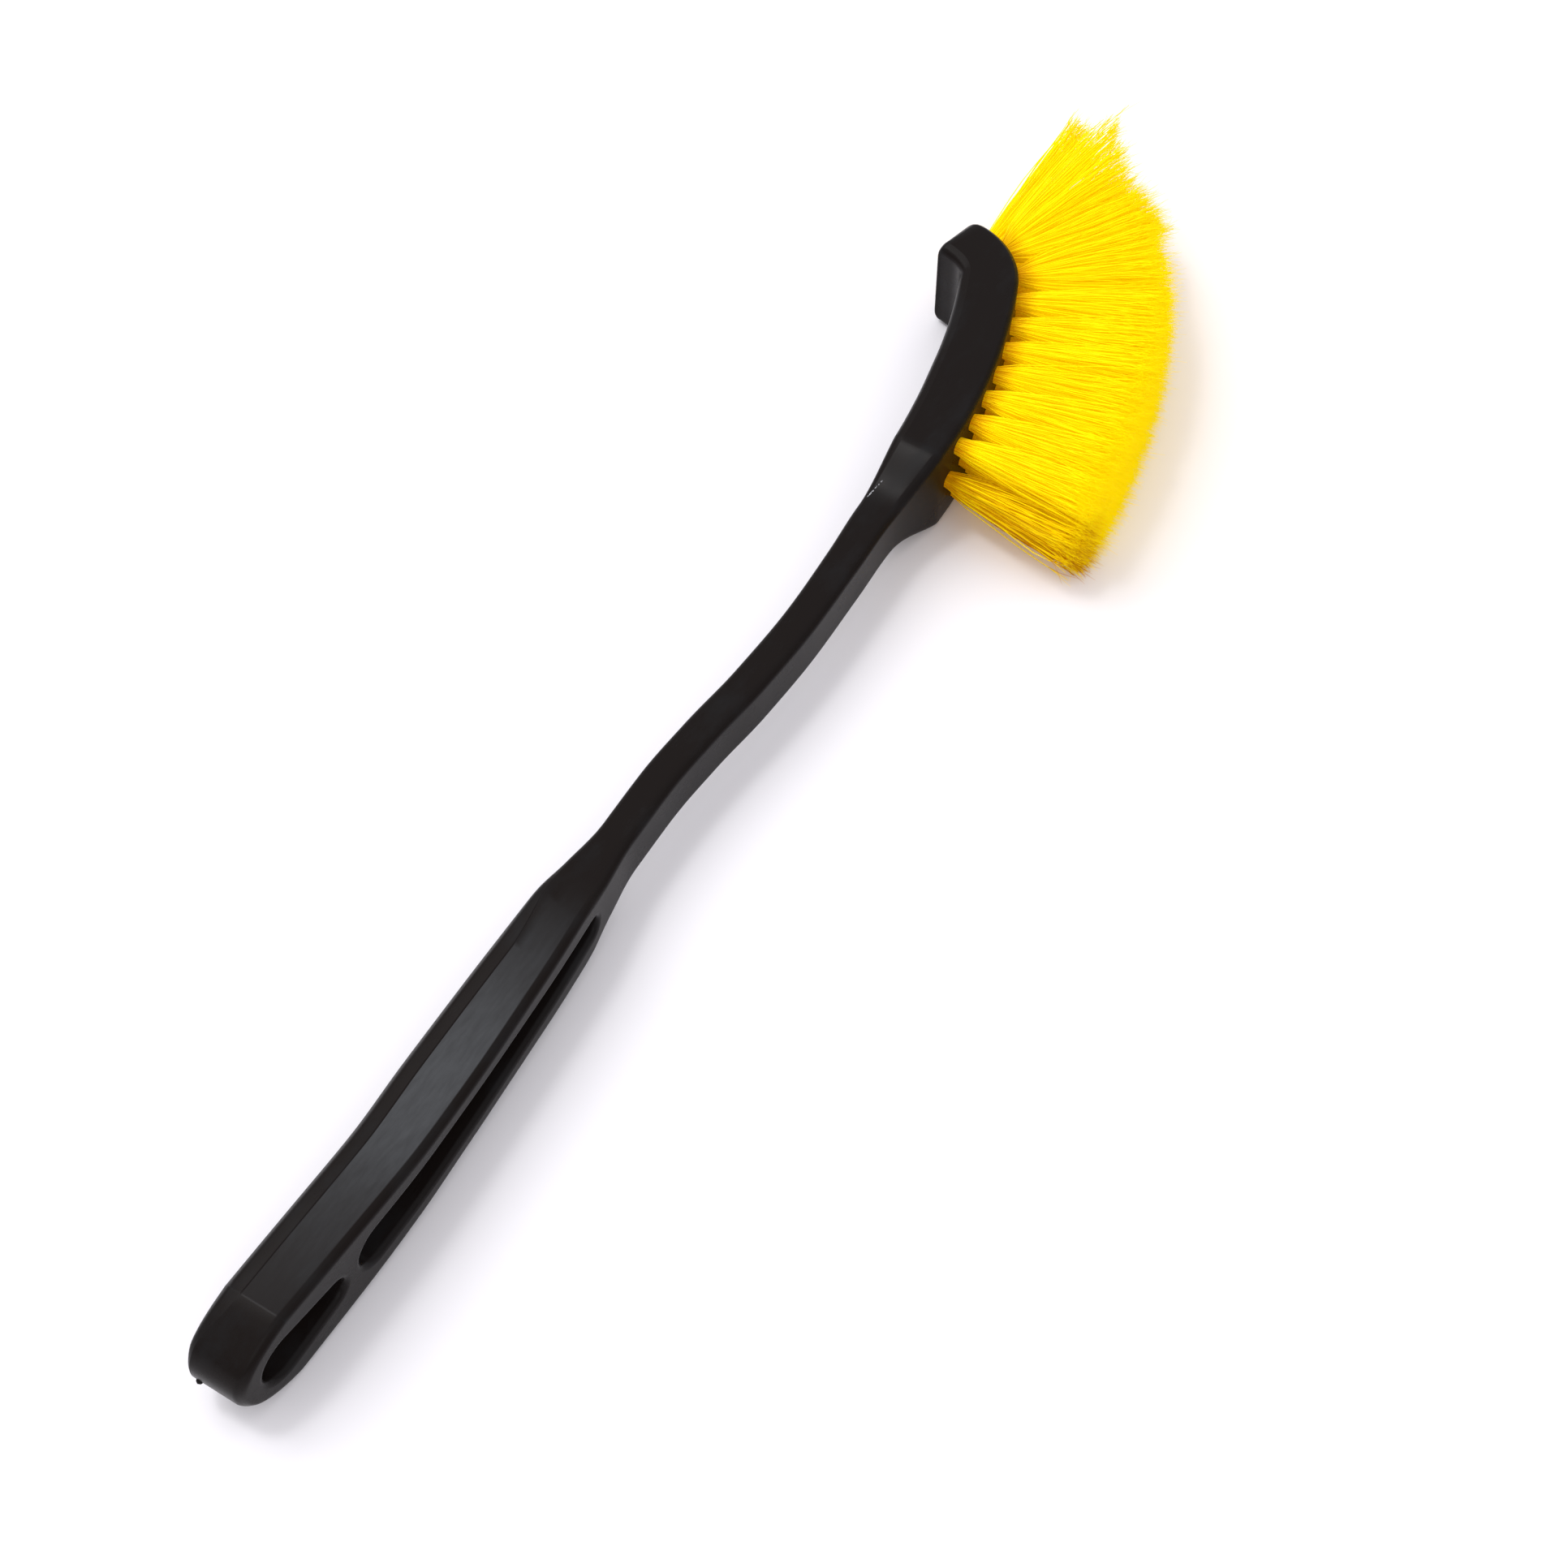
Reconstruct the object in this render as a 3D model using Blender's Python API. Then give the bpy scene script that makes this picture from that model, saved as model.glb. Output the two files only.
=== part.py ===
"""Long-handled wheel brush: a moulded handle with a slotted grip, a swayed neck and a head
whose tip curls back into a hook, and tufts of soft bristle folded round steel anchors.

The brush lies on its side.  +X runs along the grip from the hanging loop to the head, the
bristles point to -Y, the tip curls round to +Y and the handle is symmetrical about the
horizontal plane at half the head's width.
"""
import math

import bmesh
import bpy
import numpy as np
from mathutils import Matrix, Vector

MM = 0.001

# Grip: a wedge in side view, with a rounded loop end.
GRIP_LENGTH = 150.0 * MM
GRIP_END_WIDTH = 30.6 * MM
GRIP_WAIST_WIDTH = 22.4 * MM
GRIP_THICKNESS = 18.6 * MM
GRIP_NECK_THICKNESS = 12.4 * MM
LOOP_END_LENGTH = 16.0 * MM
LOOP_END_ROUNDING = 24.0 * MM
LOOP_END_THICKNESS = 15.5 * MM
LOOP_TIP_WIDTH = 6.0 * MM
GRIP_BEVEL_WIDTH = 5.4 * MM
GRIP_BEVEL_HEIGHT = 3.0 * MM

# Neck: a flat bar that sways once to the back and once to the front.
NECK_LENGTH = 133.0 * MM
NECK_WIDTH = 16.2 * MM
NECK_THICKNESS = 9.4 * MM
NECK_END_THICKNESS = 10.4 * MM
NECK_CREST = 1.5 * MM
NECK_DIP = -2.7 * MM

# Head: a long gentle arc along the bristle face and a tight arc round the hooked tip.
RAMP_LENGTH = 20.0 * MM
HEAD_WIDTH = 31.0 * MM
HEAD_HEEL_THICKNESS = 14.6 * MM
HEAD_THICKNESS = 16.4 * MM
TIP_BEND_THICKNESS = 15.9 * MM
TIP_END_THICKNESS = 14.8 * MM
FACE_START_Y = -9.3 * MM
FACE_RADIUS = 165.0 * MM
FACE_TURN = math.radians(22.8)
TIP_RADIUS = 23.5 * MM
TIP_TURN = math.radians(71.3)
TIP_CAP_TILT = math.radians(-16.5)
HEAD_BEVEL_WIDTH = 3.0 * MM
HEAD_BEVEL_HEIGHT = 2.0 * MM
EDGE_BEVEL = 1.5 * MM

# Openings in the grip: radii at the loop end and at the neck end of each.
HANG_HOLE_START = 6.4 * MM
HANG_HOLE_LENGTH = 28.2 * MM
HANG_HOLE_END_RADII = (7.0 * MM, 4.2 * MM)
GRIP_WEB = 6.0 * MM
SLOT_END_WALL = 6.0 * MM
SLOT_END_RADII = (6.2 * MM, 3.4 * MM)

# Tufts: two outer rows and a middle row.
BORE_DIAMETER = 5.2 * MM
BORE_DEPTH = 8.0 * MM
ROW_SPACING = 9.0 * MM
OUTER_ROW_COUNT = 9
OUTER_ROW_MARGINS = (10.0 * MM, 12.5 * MM)
MIDDLE_ROW_COUNT = 11
MIDDLE_ROW_MARGINS = (5.2 * MM, 4.6 * MM)
BRISTLE_LENGTH = 43.5 * MM
TIP_EXTRA_LENGTH = 16.5 * MM
TUFT_SPREAD_ACROSS = 1.7 * MM
TUFT_SPREAD_ALONG = 9.0 * MM
ROW_LEAN = 1.6 * MM
HEEL_SPLAY = math.radians(-3.0)
TIP_SPLAY = math.radians(-2.0)
SPLAY_FADE = 6

# Anchors: flat steel strips that hold each folded tuft at the bottom of its bore.
ANCHOR_THICKNESS = 0.5 * MM
ANCHOR_HEIGHT = 2.2 * MM
ANCHOR_FOLD = 1.3 * MM
CLEARANCE = 0.3 * MM

ROW_NAMES = {1: "upper", 0: "middle", -1: "lower"}

MID_PLANE = HEAD_WIDTH / 2
NECK_END = GRIP_LENGTH + NECK_LENGTH
FACE_START = Vector((NECK_END + RAMP_LENGTH, FACE_START_Y))
FACE_LENGTH = FACE_RADIUS * FACE_TURN
TIP_LENGTH = TIP_RADIUS * TIP_TURN


def smooth_between(x, xs, ys):
    """Value at x of a smooth curve through (xs, ys) that never overshoots its points."""
    xs = np.asarray(xs, float)
    ys = np.asarray(ys, float)
    run = np.diff(xs)
    rise = np.diff(ys) / run
    slope = np.zeros(len(xs))
    same_way = rise[:-1] * rise[1:] > 0
    mean = 2 * rise[:-1] * rise[1:] / np.where(same_way, rise[:-1] + rise[1:], 1.0)
    slope[1:-1] = np.where(same_way, mean, 0.0)
    slope[0], slope[-1] = rise[0], rise[-1]
    k = int(np.clip(np.searchsorted(xs, x) - 1, 0, len(run) - 1))
    t = (x - xs[k]) / run[k]
    straight = ys[k] * (1 - t) + ys[k + 1] * t
    bend = t * (1 - t) * run[k] * ((slope[k] - rise[k]) * (1 - t) + (rise[k] - slope[k + 1]) * t)
    return float(straight + bend)


def shaft_section(x):
    """Centre, thickness and width of the grip and neck at x, as (y, thickness, half width)."""
    g = GRIP_LENGTH
    n = NECK_LENGTH
    heel_centre = FACE_START_Y + HEAD_HEEL_THICKNESS / 2
    centre = smooth_between(
        x,
        (0, 0.13 * g, 0.4 * g, 0.55 * g, 0.78 * g, 0.93 * g, g + 0.11 * n, g + 0.24 * n,
         g + 0.38 * n, g + 0.53 * n, g + 0.7 * n, g + 0.87 * n, NECK_END, FACE_START.x),
        (-0.8 * MM, -1.5 * MM, -2.3 * MM, -1.4 * MM, -0.1 * MM, 0.6 * MM, 1.2 * MM, NECK_CREST,
         0.4 * MM, -1.7 * MM, NECK_DIP, -2.0 * MM, -1.1 * MM, heel_centre))
    thickness = smooth_between(
        x,
        (0, 0.02 * g, 0.13 * g, 0.4 * g, 0.55 * g, 0.78 * g, 0.93 * g, g, g + 0.11 * n,
         g + 0.7 * n, NECK_END, FACE_START.x),
        (LOOP_END_THICKNESS, 0.9 * GRIP_THICKNESS, 0.94 * GRIP_THICKNESS, 0.97 * GRIP_THICKNESS,
         GRIP_THICKNESS, 0.93 * GRIP_THICKNESS, 0.8 * GRIP_THICKNESS, GRIP_NECK_THICKNESS,
         NECK_THICKNESS, NECK_THICKNESS, NECK_END_THICKNESS, HEAD_HEEL_THICKNESS))
    width = smooth_between(
        x,
        (LOOP_END_LENGTH, 0.27 * g, 0.53 * g, 0.67 * g, 0.91 * g, g, g + 0.11 * n, NECK_END,
         FACE_START.x),
        (GRIP_END_WIDTH, 0.94 * GRIP_END_WIDTH, 1.05 * GRIP_WAIST_WIDTH, GRIP_WAIST_WIDTH,
         GRIP_WAIST_WIDTH, 1.1 * NECK_WIDTH, NECK_WIDTH, NECK_WIDTH, HEAD_WIDTH))
    if x < LOOP_END_LENGTH:
        width = max(GRIP_END_WIDTH * ellipse_share(x) / ellipse_share(LOOP_END_LENGTH),
                    LOOP_TIP_WIDTH)
    return centre, thickness, width / 2


def ellipse_share(x):
    """Half width of the loop end's ellipse at x, as a share of its widest."""
    return math.sqrt(1 - (1 - x / LOOP_END_ROUNDING) ** 2)


def face_point(s):
    """Point and heading on the bristle face, s metres along it from the heel."""
    def arc(start, heading, radius, turn):
        centre = start + radius * Vector((-math.sin(heading), math.cos(heading)))
        return centre + radius * Vector((math.sin(heading + turn), -math.cos(heading + turn)))

    if s <= FACE_LENGTH:
        turn = s / FACE_RADIUS
        return arc(FACE_START, 0.0, FACE_RADIUS, turn), turn
    tip_start = arc(FACE_START, 0.0, FACE_RADIUS, FACE_TURN)
    turn = (s - FACE_LENGTH) / TIP_RADIUS
    return arc(tip_start, FACE_TURN, TIP_RADIUS, turn), FACE_TURN + turn


def head_section(s):
    """Front point, back point and half width of the head at s along its face."""
    front, heading = face_point(s)
    thickness = smooth_between(
        s,
        (0, 0.25 * FACE_LENGTH, 0.5 * FACE_LENGTH, FACE_LENGTH, FACE_LENGTH + 0.25 * TIP_LENGTH,
         FACE_LENGTH + 0.6 * TIP_LENGTH, FACE_LENGTH + TIP_LENGTH),
        (HEAD_HEEL_THICKNESS, 0.96 * HEAD_THICKNESS, HEAD_THICKNESS, HEAD_THICKNESS,
         TIP_BEND_THICKNESS, TIP_BEND_THICKNESS, TIP_END_THICKNESS))
    lean = TIP_CAP_TILT * max(0.0, (s - FACE_LENGTH) / TIP_LENGTH)
    inward = Vector((-math.sin(heading + lean), math.cos(heading + lean)))
    return front, front + thickness * inward, HEAD_WIDTH / 2


def section_ring(front, back, half_width, bevel_width, bevel_height):
    """Ten points round one cross-section, from the front face over the top to the back."""
    across = back - front
    thickness = across.length
    direction = across / thickness
    edge = min(EDGE_BEVEL, 0.4 * half_width)
    width = min(bevel_width, 0.4 * thickness)
    height = min(bevel_height, 0.5 * half_width)
    upper = (
        (0.0, half_width - edge),
        (edge, half_width),
        (thickness - width, half_width),
        (thickness - 0.3 * width, half_width - 0.35 * height),
        (thickness, half_width - height))
    profile = upper + tuple((u, -w) for u, w in reversed(upper))
    ring = []
    for u, w in profile:
        point = front + u * direction
        ring.append(Vector((point.x, point.y, MID_PLANE + w)))
    return ring


def handle_rings():
    """Cross-sections of the whole handle from the loop end to the tip."""
    loop_end = [LOOP_END_LENGTH * (1 - math.cos(a)) for a in np.linspace(0, math.pi / 2, 8)]
    shaft = np.linspace(LOOP_END_LENGTH, FACE_START.x, 45)[1:]
    rings = []
    for x in loop_end + list(shaft):
        centre, thickness, half_width = shaft_section(x)
        front = Vector((x, centre - thickness / 2))
        back = Vector((x, centre + thickness / 2))
        joints = (0, LOOP_END_LENGTH, 0.8 * GRIP_LENGTH, GRIP_LENGTH, NECK_END, FACE_START.x)
        width = smooth_between(x, joints, (EDGE_BEVEL, GRIP_BEVEL_WIDTH, GRIP_BEVEL_WIDTH,
                                           EDGE_BEVEL, EDGE_BEVEL, HEAD_BEVEL_WIDTH))
        height = smooth_between(x, joints, (EDGE_BEVEL, GRIP_BEVEL_HEIGHT, GRIP_BEVEL_HEIGHT,
                                            EDGE_BEVEL, EDGE_BEVEL, HEAD_BEVEL_HEIGHT))
        rings.append(section_ring(front, back, half_width, width, height))
    along_face = list(np.linspace(0, FACE_LENGTH, 16)[1:])
    along_face += list(FACE_LENGTH + np.linspace(0, TIP_LENGTH, 13)[1:])
    for s in along_face:
        front, back, half_width = head_section(s)
        rings.append(section_ring(front, back, half_width, HEAD_BEVEL_WIDTH, HEAD_BEVEL_HEIGHT))
    return rings


def mesh_from_rings(name, rings):
    """Closed mesh through rings of points, capped at both ends."""
    mesh = bmesh.new()
    loops = [[mesh.verts.new(point) for point in ring] for ring in rings]
    count = len(loops[0])
    for near, far in zip(loops, loops[1:]):
        for i in range(count):
            j = (i + 1) % count
            mesh.faces.new((near[i], near[j], far[j], far[i]))
    mesh.faces.new(loops[0][::-1])
    mesh.faces.new(loops[-1])
    bmesh.ops.recalc_face_normals(mesh, faces=mesh.faces)
    data = bpy.data.meshes.new(name)
    mesh.to_mesh(data)
    mesh.free()
    return data


def add_object(name, data, material=None):
    """Link a new object that holds the mesh and, for a solid, its material."""
    item = bpy.data.objects.new(name, data)
    bpy.context.scene.collection.objects.link(item)
    if material is not None:
        data.materials.append(material)
        data.shade_smooth()
        data.set_sharp_from_angle(angle=math.radians(30))
    return item


def add_tool(name, data):
    """Link a cutter, which is never a part of the brush itself."""
    item = add_object(name, data)
    item.hide_render = True
    item.display_type = "WIRE"
    return item


def add_boolean(item, tool):
    """Cut the tool out of the item with an exact Boolean."""
    step = item.modifiers.new(tool.name, "BOOLEAN")
    step.operation = "DIFFERENCE"
    step.solver = "EXACT"
    step.object = tool


def tapered_slot(name, start, length, radii):
    """Cutter through the grip along Y: two round ends of different radius and their tangents."""
    centres = (start + radii[0], start + length - radii[1])
    tangent = math.asin((radii[0] - radii[1]) / (centres[1] - centres[0]))
    outline = []
    for centre, radius, first in ((centres[0], radii[0], math.pi / 2 - tangent),
                                  (centres[1], radii[1], -math.pi / 2 + tangent)):
        sweep = math.pi + 2 * tangent if first > 0 else math.pi - 2 * tangent
        for angle in np.linspace(first, first + sweep, 15):
            outline.append((centre + radius * math.cos(angle), radius * math.sin(angle)))
    reach = GRIP_THICKNESS
    rings = [[Vector((x, y, MID_PLANE + z)) for x, z in outline] for y in (-reach, reach)]
    return add_tool(name, mesh_from_rings(name, rings))


class Tuft:
    """One tuft's place on the face, its directions and the pitch of its row."""

    def __init__(self, row, number, count, s, pitch):
        self.name = f"{ROW_NAMES[row]}_{number:02d}"
        self.row = row
        self.pitch = pitch
        point, heading = face_point(s)
        height = MID_PLANE + row * ROW_SPACING
        self.root = Vector((point.x, point.y, height))
        self.out = Vector((math.sin(heading), -math.cos(heading), 0))
        self.along = Vector((math.cos(heading), math.sin(heading), 0))
        place = (number - 1) / (count - 1)
        self.splay = HEEL_SPLAY * (1 - place) ** SPLAY_FADE + TIP_SPLAY * place ** SPLAY_FADE
        lengthening = 0.9 * FACE_LENGTH
        into_tip = max(0.0, (s - lengthening) / (FACE_LENGTH + TIP_LENGTH - lengthening))
        self.length = BRISTLE_LENGTH + TIP_EXTRA_LENGTH * into_tip ** 2
        radius = TIP_RADIUS if s > FACE_LENGTH else FACE_RADIUS
        self.tip_pitch = pitch * (1 + self.length / radius)

    def frame(self):
        """Local axes: X along the row, Y across the rows, Z out of the bore."""
        across = self.out.cross(self.along)
        axes = Matrix((self.along, across, self.out)).transposed().to_4x4()
        return Matrix.Translation(self.root) @ axes


def all_tufts():
    """Every tuft, row by row from the heel to the tip."""
    tufts = []
    for row, count, (heel_margin, tip_margin) in (
            (1, OUTER_ROW_COUNT, OUTER_ROW_MARGINS),
            (0, MIDDLE_ROW_COUNT, MIDDLE_ROW_MARGINS),
            (-1, OUTER_ROW_COUNT, OUTER_ROW_MARGINS)):
        pitch = (FACE_LENGTH + TIP_LENGTH - heel_margin - tip_margin) / (count - 1)
        for k in range(count):
            tufts.append(Tuft(row, k + 1, count, heel_margin + k * pitch, pitch))
    return tufts


def round_rod(radius, bottom, top, frame, sides=20):
    """Rings of a straight rod along the frame's Z."""
    rings = []
    for z in (bottom, top):
        turns = [2 * math.pi * k / sides for k in range(sides)]
        rings.append([frame @ Vector((radius * math.cos(a), radius * math.sin(a), z))
                      for a in turns])
    return rings


def bore_tool(tufts):
    """All the bores of the head as one cutter."""
    joined = bmesh.new()
    for tuft in tufts:
        rings = round_rod(BORE_DIAMETER / 2, -BORE_DEPTH, BORE_DEPTH / 2, tuft.frame())
        data = mesh_from_rings("bore", rings)
        joined.from_mesh(data)
        bpy.data.meshes.remove(data)
    data = bpy.data.meshes.new("bores")
    joined.to_mesh(data)
    joined.free()
    return add_tool("bores", data)


def add_handle(material, tufts):
    """The one-piece moulded handle with its openings and bores."""
    handle = add_object("handle", mesh_from_rings("handle", handle_rings()), material)
    hang_hole = tapered_slot("hang_hole", HANG_HOLE_START, HANG_HOLE_LENGTH, HANG_HOLE_END_RADII)
    slot_start = HANG_HOLE_START + HANG_HOLE_LENGTH + GRIP_WEB
    slot_length = GRIP_LENGTH - SLOT_END_WALL - slot_start
    slot = tapered_slot("grip_slot", slot_start, slot_length, SLOT_END_RADII)
    for tool in (hang_hole, slot, bore_tool(tufts)):
        add_boolean(handle, tool)
    return handle


def box_data(name, frame, size, centre_z):
    """Box of the given size along the frame's axes."""
    half = Vector(size) / 2
    corners = ((-1, -1), (1, -1), (1, 1), (-1, 1))
    rings = [[frame @ Vector((a * half.x, b * half.y, centre_z + c * half.z))
              for a, b in corners] for c in (-1, 1)]
    return mesh_from_rings(name, rings)


def tuft_rings(tuft):
    """Elliptical sections of a tuft from the bottom of its bore to the bristle tips."""
    frame = tuft.frame()
    root_radius = BORE_DIAMETER / 2 - CLEARANCE
    row_limit = ROW_SPACING / 2 - CLEARANCE
    across_tip = min(root_radius + TUFT_SPREAD_ACROSS, row_limit)
    free = tuft.length
    levels = ((-BORE_DEPTH + CLEARANCE, 0.86), (-BORE_DEPTH + 1.0 * MM, 1.0), (0.0, 1.0),
              (0.15 * free, None), (0.5 * free, None), (0.95 * free, None), (free, None))
    rings = []
    for z, fixed in levels:
        grow = max(0.0, z / free)
        pitch = tuft.pitch + (tuft.tip_pitch - tuft.pitch) * grow
        along = min(root_radius + TUFT_SPREAD_ALONG * grow ** 0.7, pitch / 2 - CLEARANCE)
        across = root_radius + (across_tip - root_radius) * grow ** 0.7
        if fixed is not None:
            along = across = fixed * root_radius
        if z == free:
            along *= 0.8
            across *= 0.8
        shift = Vector((math.tan(tuft.splay) * max(0.0, z), 0, 0))
        lean = Vector((0, 0, tuft.row * ROW_LEAN * grow))
        ring = []
        for k in range(16):
            a = 2 * math.pi * k / 16
            local = shift + Vector((along * math.cos(a), across * math.sin(a), z))
            ring.append(frame @ local + lean)
        rings.append(ring)
    return rings


def add_tuft(tuft, material):
    """A tuft folded round its anchor, which sits in a window across the fold."""
    rings = tuft_rings(tuft)
    solid = add_object(f"tuft_{tuft.name}", mesh_from_rings("tuft", rings), material)
    window = (BORE_DIAMETER * 1.2, ANCHOR_THICKNESS + 2 * CLEARANCE, ANCHOR_HEIGHT + 2 * CLEARANCE)
    data = box_data("window", tuft.frame(), window, anchor_depth())
    tool = add_tool(f"window_{tuft.name}", data)
    add_boolean(solid, tool)
    return solid


def anchor_depth():
    """Height of an anchor's middle in its bore's frame."""
    return -BORE_DEPTH + ANCHOR_FOLD + CLEARANCE + ANCHOR_HEIGHT / 2


def add_anchor(tuft, material):
    """The flat strip across the bore that pins the fold of a tuft."""
    size = (BORE_DIAMETER - 2 * CLEARANCE, ANCHOR_THICKNESS, ANCHOR_HEIGHT)
    data = box_data("anchor", tuft.frame(), size, anchor_depth())
    return add_object(f"anchor_{tuft.name}", data, material)


def new_material(name, colour, roughness, metallic=0.0):
    """Plain Principled material."""
    material = bpy.data.materials.new(name)
    material.use_nodes = True
    shader = material.node_tree.nodes["Principled BSDF"]
    shader.inputs["Base Color"].default_value = (*colour, 1.0)
    shader.inputs["Roughness"].default_value = roughness
    shader.inputs["Metallic"].default_value = metallic
    return material


def centre_on_origin(solids):
    """Parent the solids to an empty that puts the origin under the middle of their box."""
    depsgraph = bpy.context.evaluated_depsgraph_get()
    corners = []
    for solid in solids:
        shape = solid.evaluated_get(depsgraph)
        corners += [shape.matrix_world @ Vector(corner) for corner in shape.bound_box]
    low = [min(corner[axis] for corner in corners) for axis in range(3)]
    high = [max(corner[axis] for corner in corners) for axis in range(3)]
    frame = bpy.data.objects.new("brush_frame", None)
    bpy.context.scene.collection.objects.link(frame)
    frame.location = (-(low[0] + high[0]) / 2, -(low[1] + high[1]) / 2, -low[2])
    for item in list(bpy.data.objects):
        if item is not frame:
            item.parent = frame


def main():
    for item in list(bpy.data.objects):
        bpy.data.objects.remove(item)
    plastic = new_material("black_plastic", (0.012, 0.012, 0.013), 0.42)
    bristle = new_material("yellow_bristle", (0.95, 0.68, 0.0), 0.6)
    steel = new_material("anchor_steel", (0.55, 0.55, 0.56), 0.35, 1.0)
    tufts = all_tufts()
    solids = [add_handle(plastic, tufts)]
    for tuft in tufts:
        solids.append(add_tuft(tuft, bristle))
        solids.append(add_anchor(tuft, steel))
    centre_on_origin(solids)


main()
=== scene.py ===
"""Looks of the wheel brush: handle moulding, bristles, anchors, floor and light round the frame.

The frame gives every piece its place.  The shapes here are worked out in millimetres in the
handle's own coordinates: s along the handle from its loop end, w across its width from the
middle plane, and u from its bristle side to its back.
"""

import logging
import math
from dataclasses import dataclass, field
from enum import Enum
from typing import Sequence, Union

import bmesh
import bpy
import numpy as np
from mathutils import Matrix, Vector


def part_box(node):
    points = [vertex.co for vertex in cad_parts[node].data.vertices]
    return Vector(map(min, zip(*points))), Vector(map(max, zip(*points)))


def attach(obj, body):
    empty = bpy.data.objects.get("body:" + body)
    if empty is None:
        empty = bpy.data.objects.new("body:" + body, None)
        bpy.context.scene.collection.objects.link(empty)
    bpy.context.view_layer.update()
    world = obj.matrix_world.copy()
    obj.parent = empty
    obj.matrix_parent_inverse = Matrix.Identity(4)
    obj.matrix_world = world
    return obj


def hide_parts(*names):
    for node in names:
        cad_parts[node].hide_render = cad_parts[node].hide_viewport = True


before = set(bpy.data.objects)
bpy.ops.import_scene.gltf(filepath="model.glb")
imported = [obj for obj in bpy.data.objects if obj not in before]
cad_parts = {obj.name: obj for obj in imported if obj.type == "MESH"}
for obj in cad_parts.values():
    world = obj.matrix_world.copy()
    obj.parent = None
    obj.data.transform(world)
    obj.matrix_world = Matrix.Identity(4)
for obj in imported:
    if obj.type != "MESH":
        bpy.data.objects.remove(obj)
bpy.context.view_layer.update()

LOG = logging.getLogger("wheel_brush")
MM = 0.001
SQUARE_MM = 1e6
BODY = "root"
MERGE_DISTANCE = 1e-7
# Places on the form, in mm from the loop end and from the grip's axis.
VIEW_CENTRE = (210.4, -18.2)
SCRATCH_PLACE = (288.5, 2.3)

Array = np.ndarray
Colour = tuple[float, float, float, float]
Pair = tuple[float, float]
Place = tuple[float, float, float]


@dataclass(frozen=True)
class Curve:
    """Smooth curve through knots that never overshoots them."""

    knots: tuple[Pair, ...]

    def __call__(self, x: Array) -> Array:
        """Value of the curve: a cubic between each two knots, with the harmonic mean of the
        slopes on both sides as the slope at a knot, and none at a turning point.

        Args:
            x: Places along the curve.

        Returns:
            The curve's values there.
        """
        xs, ys = np.array(self.knots, float).T
        run = np.diff(xs)
        rise = np.diff(ys) / run
        same_way = rise[:-1] * rise[1:] > 0
        mean = 2 * rise[:-1] * rise[1:] / np.where(same_way, rise[:-1] + rise[1:], 1.0)
        slope = np.concatenate(([rise[0]], np.where(same_way, mean, 0.0), [rise[-1]]))
        k = np.clip(np.searchsorted(xs, x) - 1, 0, len(run) - 1)
        t = (x - xs[k]) / run[k]
        straight = ys[k] * (1 - t) + ys[k + 1] * t
        bend = (slope[k] - rise[k]) * (1 - t) + (rise[k] - slope[k + 1]) * t
        return straight + t * (1 - t) * run[k] * bend


def step(x: Array, low: float, high: float) -> Array:
    """Smooth step from 0 at low to 1 at high: 3t^2 - 2t^3 of the clamped share t of the way."""
    t = np.clip((x - low) / (high - low), 0.0, 1.0)
    return t * t * (3 - 2 * t)


def stack(*parts: Union[Array, float]) -> Array:
    """Numbers side by side along a new last axis, grown to one shape first."""
    return np.stack(np.broadcast_arrays(*parts), -1)


def unit(vectors: Array) -> Array:
    """Vectors of the last axis, divided by their lengths."""
    return vectors / np.linalg.norm(vectors, axis=-1, keepdims=True)


def add_object(name: str, data: bpy.types.ID) -> bpy.types.Object:
    """A new object with this data, linked to the scene."""
    item = bpy.data.objects.new(name, data)
    bpy.context.scene.collection.objects.link(item)
    return item


def write_attribute(mesh: bpy.types.Mesh, name: str, values: Array) -> None:
    """Store a number for each point of a mesh."""
    attribute = mesh.attributes.new(name, "FLOAT", "POINT")
    attribute.data.foreach_set("value", values.astype(np.float32))


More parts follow.
